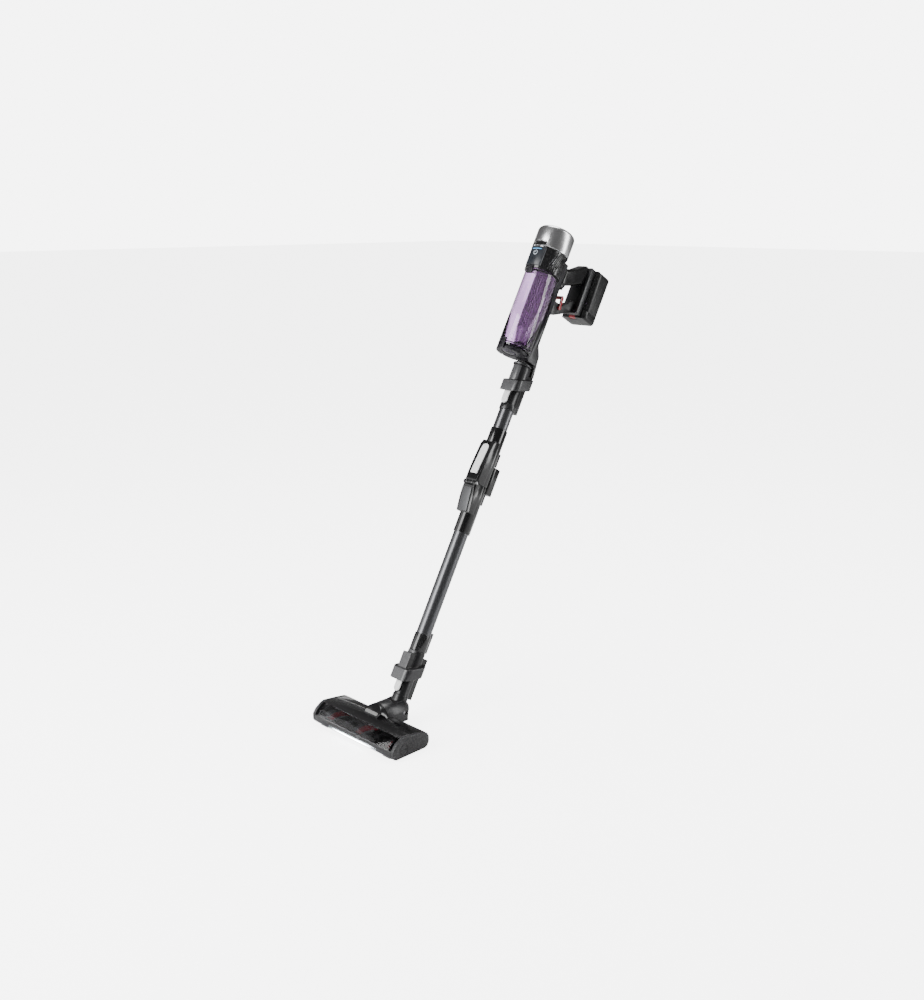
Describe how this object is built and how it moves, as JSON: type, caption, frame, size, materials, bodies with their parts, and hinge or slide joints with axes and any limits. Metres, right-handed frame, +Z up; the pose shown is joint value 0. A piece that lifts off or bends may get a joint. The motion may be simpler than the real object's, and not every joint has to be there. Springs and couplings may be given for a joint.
{
  "type": "cordless stick vacuum",
  "caption": "Cordless stick vacuum with a floor head on a jointed neck, a folding wand, a clear bin, a silver motor pod, a pistol grip and a slide-on battery.",
  "frame": {"origin": "on the floor under the middle of the floor head, behind the brush roller", "axes": "+X along the floor head, +Y towards the user, +Z up"},
  "size_m": [0.26, 0.7841, 1.0384],
  "materials": {
    "graphite": "matte",
    "gloss_black": "gloss",
    "grey_plastic": "matte",
    "window": "clear",
    "lamp_lens": "clear",
    "circuit": "matte",
    "red_bristle": "matte",
    "black_bristle": "matte",
    "roller_plastic": "matte",
    "pulley_plastic": "matte",
    "steel": "satin",
    "rubber_black": "matte",
    "felt_grey": "matte",
    "pale_plate": "matte",
    "white_plastic": "gloss",
    "tube_metal": "matte",
    "panel_silver": "matte",
    "silver_cap": "satin",
    "display": "gloss",
    "chrome_rim": "polished",
    "spine_grey": "matte",
    "clear_bin": "clear",
    "violet_plastic": "gloss",
    "bin_dark": "gloss",
    "red_plastic": "gloss",
    "filter_white": "matte"
  },
  "bodies": {
    "pod": {"inlet_collar": "grey_plastic", "spine": "spine_grey", "motor_housing": "gloss_black", "motor_cap": "silver_cap", "display_panel": "display", "capsule_bezel": "chrome_rim", "pod_motor": "steel", "filter": "filter_white", "grip": "graphite", "cradle": "graphite"},
    "power_button": {"power_button": "gloss_black"},
    "impeller": {"impeller": "pulley_plastic"},
    "trigger": {"trigger": "gloss_black"},
    "lever": {"lever": "red_plastic"},
    "bin": {"bin_shell": "clear_bin", "bin_floor": "bin_dark", "cyclone": "violet_plastic"},
    "bin_door": {"bin_door": "bin_dark"},
    "door_latch": {"door_latch": "bin_dark"},
    "bin_latch": {"bin_latch": "bin_dark"},
    "battery": {"battery": "gloss_black"},
    "battery_release": {"battery_release": "red_plastic"},
    "wand_upper": {"joint_upper": "gloss_black", "upper_tube": "tube_metal", "upper_connector": "graphite"},
    "upper_release": {"upper_release": "white_plastic"},
    "flex_button": {"flex_button": "white_plastic"},
    "wand_lower": {"joint_lower": "gloss_black", "joint_panel": "panel_silver", "joint_pin": "steel", "flex_hose": "rubber_black", "lower_tube": "tube_metal", "lower_cuff": "gloss_black", "lower_collar": "grey_plastic"},
    "neck_stem": {"neck_stem": "graphite"},
    "lower_release": {"lower_release": "white_plastic"},
    "neck_drum": {"neck_drum": "gloss_black", "pitch_pin": "steel"},
    "head": {"head_base": "graphite", "head_cover": "gloss_black", "head_window": "window", "led_lens": "lamp_lens", "led_board": "circuit", "end_cap_right": "grey_plastic", "end_cap_left": "grey_plastic", "brush_motor": "steel", "drive_belt": "rubber_black", "wheel_axles": "steel", "squeegee": "rubber_black", "glide_pads": "felt_grey", "swivel_bearing": "grey_plastic", "hood_plate": "pale_plate"},
    "roller": {"roller_core": "roller_plastic", "bristles_red": "red_bristle", "bristles_black": "black_bristle", "roller_pulley": "pulley_plastic"},
    "head_motor": {"motor_pulley": "steel"},
    "wheel_right": {"wheel_right": "rubber_black"},
    "wheel_left": {"wheel_left": "rubber_black"},
    "end_knob": {"end_knob": "grey_plastic"}
  },
  "joints": [
    {"name": "wand_detach", "type": "slide", "parent": "pod", "child": "wand_upper", "axis": [0, -0.4924, -0.8704], "range_m": [0, 0.06]},
    {"name": "upper_release_press", "type": "hinge", "parent": "wand_upper", "child": "upper_release", "pos_m": [0, 0.39591, 0.69198], "axis": [1, 0, 0], "range_deg": [0, 4], "stiffness_Nm_per_rad": 0.5, "springref_deg": -1.15},
    {"name": "flex_button_press", "type": "hinge", "parent": "wand_upper", "child": "flex_button", "pos_m": [0, 0.32029, 0.56756], "axis": [1, 0, 0], "range_deg": [0, 3], "stiffness_Nm_per_rad": 1, "springref_deg": -1.15},
    {"name": "mid_fold", "type": "hinge", "parent": "wand_upper", "child": "wand_lower", "pos_m": [0, 0.27381, 0.49566], "axis": [-1, 0, 0], "range_deg": [0, 90], "deforming": ["flex_hose"]},
    {"name": "neck_detach", "type": "slide", "parent": "wand_lower", "child": "neck_stem", "axis": [0, -0.4924, -0.8704], "range_m": [0, 0.06]},
    {"name": "lower_release_press", "type": "hinge", "parent": "neck_stem", "child": "lower_release", "pos_m": [0, 0.06648, 0.10971], "axis": [1, 0, 0], "range_deg": [0, 4], "stiffness_Nm_per_rad": 0.5, "springref_deg": -1.15},
    {"name": "neck_pitch", "type": "hinge", "parent": "neck_stem", "child": "neck_drum", "pos_m": [0, 0.0442, 0.035], "axis": [1, 0, 0], "range_deg": [-29.5, 50]},
    {"name": "neck_lean", "type": "hinge", "parent": "neck_drum", "child": "head", "pos_m": [0, 0, 0.032], "axis": [0, 1, 0], "range_deg": [-30, 30]},
    {"name": "roller_spin", "type": "hinge", "parent": "head", "child": "roller", "pos_m": [0, -0.051, 0.0195], "axis": [1, 0, 0], "continuous": true},
    {"name": "head_motor_spin", "type": "hinge", "parent": "head", "child": "head_motor", "pos_m": [0.108, -0.009, 0.02], "axis": [1, 0, 0], "continuous": true},
    {"name": "wheel_right_spin", "type": "hinge", "parent": "head", "child": "wheel_right", "pos_m": [0.076, 0.009, 0.008], "axis": [1, 0, 0], "continuous": true},
    {"name": "wheel_left_spin", "type": "hinge", "parent": "head", "child": "wheel_left", "pos_m": [-0.076, 0.009, 0.008], "axis": [1, 0, 0], "continuous": true},
    {"name": "knob_turn", "type": "hinge", "parent": "head", "child": "end_knob", "pos_m": [0.128, -0.051, 0.0195], "axis": [1, 0, 0], "range_deg": [0, 90]},
    {"name": "power_button_press", "type": "slide", "parent": "pod", "child": "power_button", "axis": [0, 0.8704, -0.4924], "range_m": [0, 0.0015], "stiffness_N_per_m": 600, "springref_m": -0.001},
    {"name": "impeller_spin", "type": "hinge", "parent": "pod", "child": "impeller", "pos_m": [0, 0.52378, 0.97811], "axis": [0, 0.4924, 0.8704], "continuous": true},
    {"name": "trigger_pull", "type": "hinge", "parent": "pod", "child": "trigger", "pos_m": [0, 0.56217, 0.90584], "axis": [1, 0, 0], "range_deg": [0, 12], "stiffness_Nm_per_rad": 0.3, "springref_deg": -5.73},
    {"name": "lever_pull", "type": "hinge", "parent": "pod", "child": "lever", "pos_m": [0, 0.5475, 0.85554], "axis": [-1, 0, 0], "range_deg": [0, 10], "stiffness_Nm_per_rad": 0.4, "springref_deg": -5.73},
    {"name": "bin_removal", "type": "slide", "parent": "pod", "child": "bin", "axis": [0, -0.8704, 0.4924], "range_m": [0, 0.08]},
    {"name": "bin_door_swing", "type": "hinge", "parent": "bin", "child": "bin_door", "pos_m": [0, 0.40798, 0.76328], "axis": [1, 0, 0], "range_deg": [0, 85], "stiffness_Nm_per_rad": 0.05, "springref_deg": -85.94},
    {"name": "door_latch_lift", "type": "hinge", "parent": "bin", "child": "door_latch", "pos_m": [0, 0.37777, 0.80106], "axis": [-1, 0, 0], "range_deg": [0, 12], "stiffness_Nm_per_rad": 0.2, "springref_deg": -5.73},
    {"name": "bin_latch_press", "type": "slide", "parent": "bin", "child": "bin_latch", "axis": [0, -0.4924, -0.8704], "range_m": [0, 0.003], "stiffness_N_per_m": 800, "springref_m": -0.001},
    {"name": "battery_slide", "type": "slide", "parent": "pod", "child": "battery", "axis": [0, -0.4924, -0.8704], "range_m": [0, 0.06]},
    {"name": "battery_release_press", "type": "slide", "parent": "battery", "child": "battery_release", "axis": [0, 0.4924, 0.8704], "range_m": [0, 0.002], "stiffness_N_per_m": 600, "springref_m": -0.001}
  ],
  "couplings": [
    {"joint": "head_motor_spin", "follows": "roller_spin", "ratio": 1.6}
  ]
}
